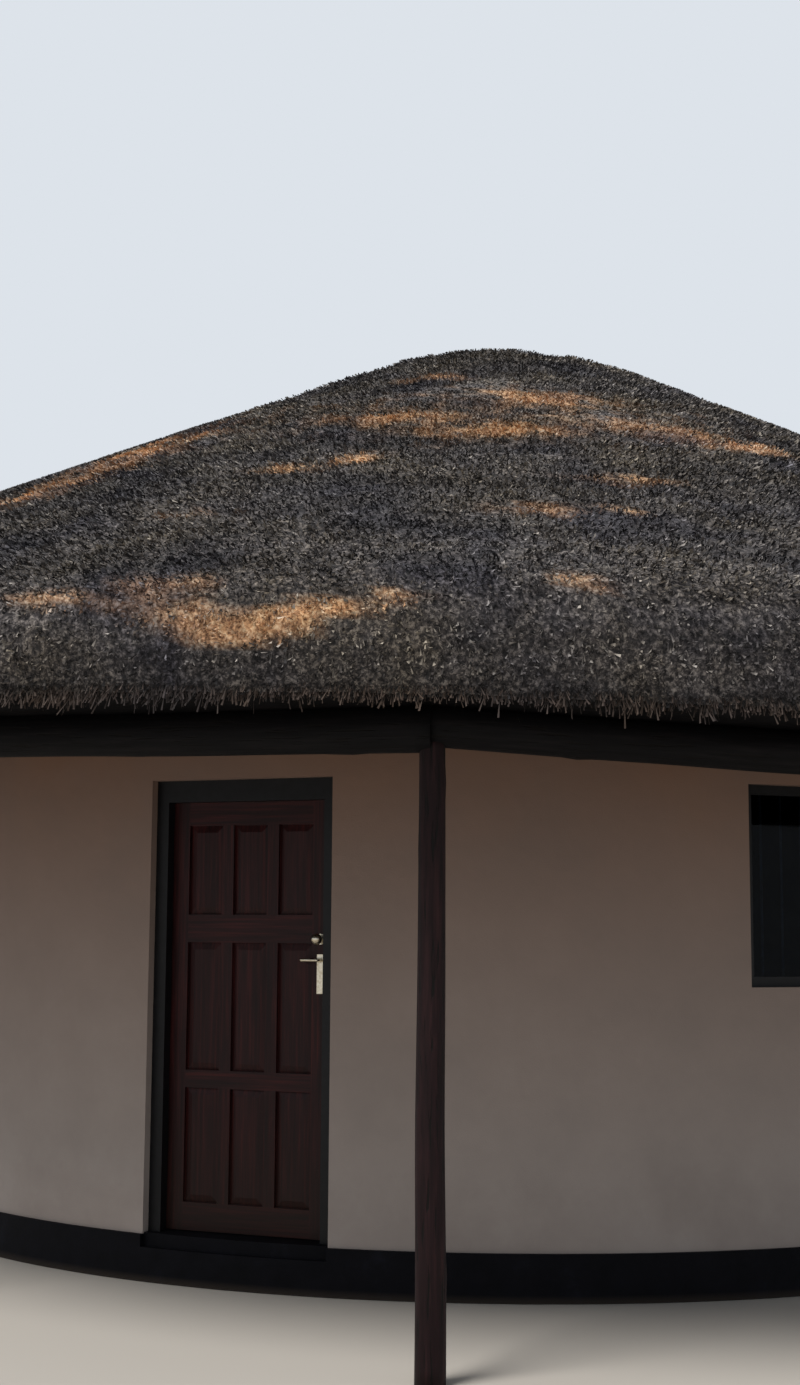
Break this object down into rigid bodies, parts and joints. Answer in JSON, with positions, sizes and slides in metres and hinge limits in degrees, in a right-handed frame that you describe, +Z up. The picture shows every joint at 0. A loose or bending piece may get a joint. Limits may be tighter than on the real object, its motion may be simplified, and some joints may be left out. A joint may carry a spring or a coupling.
{
  "type": "thatched rondavel hut",
  "caption": "Round thatched hut with plastered wall, black plinth, panelled door, steel windows and a pole veranda under a low conical roof.",
  "frame": {"origin": "on the ground at the centre of the round wall, on the underside of the floor slab", "axes": "+Z up, the door faces -Y, +X to the right of someone facing the door"},
  "size_m": [10.9527, 10.9554, 5.183],
  "materials": {
    "floor_screed": "matt cement screed",
    "plinth_paint": "matt black bitumen paint on plaster",
    "wall_plaster": "matt cream limewash on hand-floated plaster",
    "frame_paint": "satin black paint on steel",
    "window_glass": "clear sheet glass",
    "door_frame_paint": "satin black paint on timber",
    "door_wood": "dark red-brown varnish on hardwood",
    "hinge_steel": "dull steel",
    "handle_metal": "worn bright plating",
    "post_wood": "dark maroon stain on a round pole",
    "pole_wood": "dark preservative on round poles",
    "thatch": "weathered grey-brown grass thatch"
  },
  "bodies": {
    "hut": {"floor_slab": "floor_screed", "plinth": "plinth_paint", "door_sill": "floor_screed", "wall_front_right": "wall_plaster", "wall_right_side_front": "wall_plaster", "wall_right_side_back": "wall_plaster", "wall_back_right": "wall_plaster", "wall_front_left": "wall_plaster", "wall_left_side_front": "wall_plaster", "wall_left_side_back": "wall_plaster", "wall_back_left": "wall_plaster", "wall_over_door": "wall_plaster", "wall_under_window_left": "wall_plaster", "wall_over_window_left": "wall_plaster", "wall_under_window_right": "wall_plaster", "wall_over_window_right": "wall_plaster", "wall_under_window_back": "wall_plaster", "wall_over_window_back": "wall_plaster", "window_frame_left": "frame_paint", "window_frame_right": "frame_paint", "window_frame_back": "frame_paint", "window_glass_left": "window_glass", "window_glass_right": "window_glass", "window_glass_back": "window_glass", "door_jamb_left": "door_frame_paint", "door_jamb_right": "door_frame_paint", "door_head": "door_frame_paint", "hinge_frame_leaves": "hinge_steel", "veranda_posts": "post_wood", "ring_beam_lower": "pole_wood", "ring_beam_upper": "pole_wood", "wall_plate": "pole_wood", "rafters_long": "pole_wood", "rafters_short": "pole_wood", "battens": "pole_wood", "roof_hub": "pole_wood", "thatch_coat": "thatch", "thatch_cap": "thatch"},
    "door": {"door_leaf": "door_wood", "door_panels": "door_wood", "hinge_door_leaves": "hinge_steel", "lock_plates": "handle_metal", "door_knob": "handle_metal"},
    "handle": {"lever_handle": "handle_metal"}
  },
  "joints": [
    {"name": "door_hinge", "type": "hinge", "parent": "hut", "child": "door", "pos_m": [-0.4075, -3.2592, 1.191], "axis": [0, 0, 1], "range_deg": [0, 95]},
    {"name": "handle_turn", "type": "hinge", "parent": "door", "child": "handle", "pos_m": [0.36, -3.2892, 1.437], "axis": [0, -1, 0], "range_deg": [0, 38], "stiffness_Nm_per_rad": 0.6, "springref_deg": -20.05}
  ]
}
